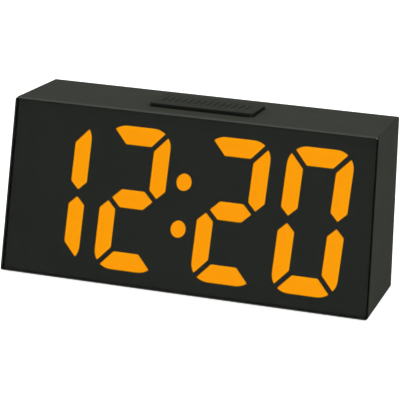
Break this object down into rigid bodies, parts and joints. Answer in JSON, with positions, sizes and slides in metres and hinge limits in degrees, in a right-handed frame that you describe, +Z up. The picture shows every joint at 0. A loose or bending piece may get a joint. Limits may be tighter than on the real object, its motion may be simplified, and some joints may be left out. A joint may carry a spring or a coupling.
{
  "type": "digital alarm clock",
  "caption": "Wedge-shaped battery alarm clock with large amber digits behind a smoked front, a wide snooze bar on top, and rear buttons, switch and battery bay.",
  "frame": {"origin": "on the table, under the middle of the case", "axes": "+X along the case to the right as seen from the front, +Y from the front to the rear, +Z up"},
  "size_m": [0.15, 0.05, 0.0724],
  "materials": {
    "black_abs": "fine matte moulding",
    "smoked_acrylic": "polished smoke grey sheet",
    "mask_glass": "black printed glass",
    "amber_segments": "backlit amber",
    "diffuser_film": "frosted film",
    "clear_acrylic": "clear moulding",
    "white_abs": "white moulding",
    "lamp_resin": "tinted resin",
    "board_laminate": "green solder mask",
    "chip_resin": "glossy black resin blob",
    "nickel_steel": "nickel plated spring steel",
    "zinc_steel": "zinc plated",
    "brass": "rolled sheet",
    "ceramic": "silvered piezo ceramic",
    "dark_nylon": "glass filled nylon",
    "plunger_plastic": "dark grey moulding",
    "black_rubber": "matte",
    "cell_jacket": "plain printed jacket",
    "flex_film": "polyimide film",
    "red_sleeve": "vinyl sleeve",
    "black_sleeve": "vinyl sleeve",
    "grey_sleeve": "vinyl sleeve"
  },
  "bodies": {
    "case": {"front_window": "smoked_acrylic", "front_case": "black_abs", "rear_cover": "black_abs", "lcd_front_glass": "mask_glass", "lcd_rear_glass": "amber_segments", "backlight_diffuser": "diffuser_film", "light_guide": "clear_acrylic", "reflector_sheet": "white_abs", "display_tray": "white_abs", "backlight_lamp_left": "lamp_resin", "backlight_lamp_right": "lamp_resin", "display_flex": "flex_film", "main_board": "board_laminate", "clock_chip": "chip_resin", "quartz_crystal": "nickel_steel", "board_screw_1": "zinc_steel", "board_screw_2": "zinc_steel", "board_screw_3": "zinc_steel", "board_screw_4": "zinc_steel", "snooze_board": "board_laminate", "snooze_switch": "dark_nylon", "snooze_spring_left": "nickel_steel", "snooze_spring_right": "nickel_steel", "snooze_board_screw_left": "zinc_steel", "snooze_board_screw_right": "zinc_steel", "set_switch": "dark_nylon", "up_switch": "dark_nylon", "down_switch": "dark_nylon", "control_board": "board_laminate", "alarm_switch_body": "nickel_steel", "buzzer_disc": "brass", "buzzer_ceramic": "ceramic", "battery_lower": "cell_jacket", "battery_upper": "cell_jacket", "positive_contact": "nickel_steel", "negative_spring": "nickel_steel", "bridge_plate": "nickel_steel", "bridge_spring": "nickel_steel", "case_screw_1": "zinc_steel", "case_screw_2": "zinc_steel", "case_screw_3": "zinc_steel", "case_screw_4": "zinc_steel", "foot_1": "black_rubber", "foot_2": "black_rubber", "foot_3": "black_rubber", "foot_4": "black_rubber", "battery_lead_red": "red_sleeve", "battery_lead_black": "black_sleeve", "control_ribbon": "grey_sleeve", "snooze_lead": "grey_sleeve"},
    "snooze_bar": {"snooze_bar": "black_abs", "snooze_plunger": "plunger_plastic"},
    "set_button": {"set_button": "plunger_plastic", "set_plunger": "plunger_plastic"},
    "up_button": {"up_button": "plunger_plastic", "up_plunger": "plunger_plastic"},
    "down_button": {"down_button": "plunger_plastic", "down_plunger": "plunger_plastic"},
    "alarm_switch": {"alarm_switch_knob": "dark_nylon"},
    "battery_door": {"battery_door": "black_abs"}
  },
  "joints": [
    {"name": "snooze_press", "type": "slide", "parent": "case", "child": "snooze_bar", "axis": [0, 0, -1], "range_m": [0, 0.0012], "stiffness_N_per_m": 1200, "springref_m": -0.0005, "deforming": ["snooze_spring_left", "snooze_spring_right"]},
    {"name": "set_press", "type": "slide", "parent": "case", "child": "set_button", "axis": [0, -1, 0], "range_m": [0, 0.0005], "stiffness_N_per_m": 2000, "springref_m": -0.0002},
    {"name": "up_press", "type": "slide", "parent": "case", "child": "up_button", "axis": [0, -1, 0], "range_m": [0, 0.0005], "stiffness_N_per_m": 2000, "springref_m": -0.0002},
    {"name": "down_press", "type": "slide", "parent": "case", "child": "down_button", "axis": [0, -1, 0], "range_m": [0, 0.0005], "stiffness_N_per_m": 2000, "springref_m": -0.0002},
    {"name": "alarm_switch_slide", "type": "slide", "parent": "case", "child": "alarm_switch", "axis": [1, 0, 0], "range_m": [0, 0.003]},
    {"name": "battery_door_hinge", "type": "hinge", "parent": "case", "child": "battery_door", "pos_m": [-0.03, 0.025, 0.01215], "axis": [-1, 0, 0], "range_deg": [0, 80]}
  ]
}
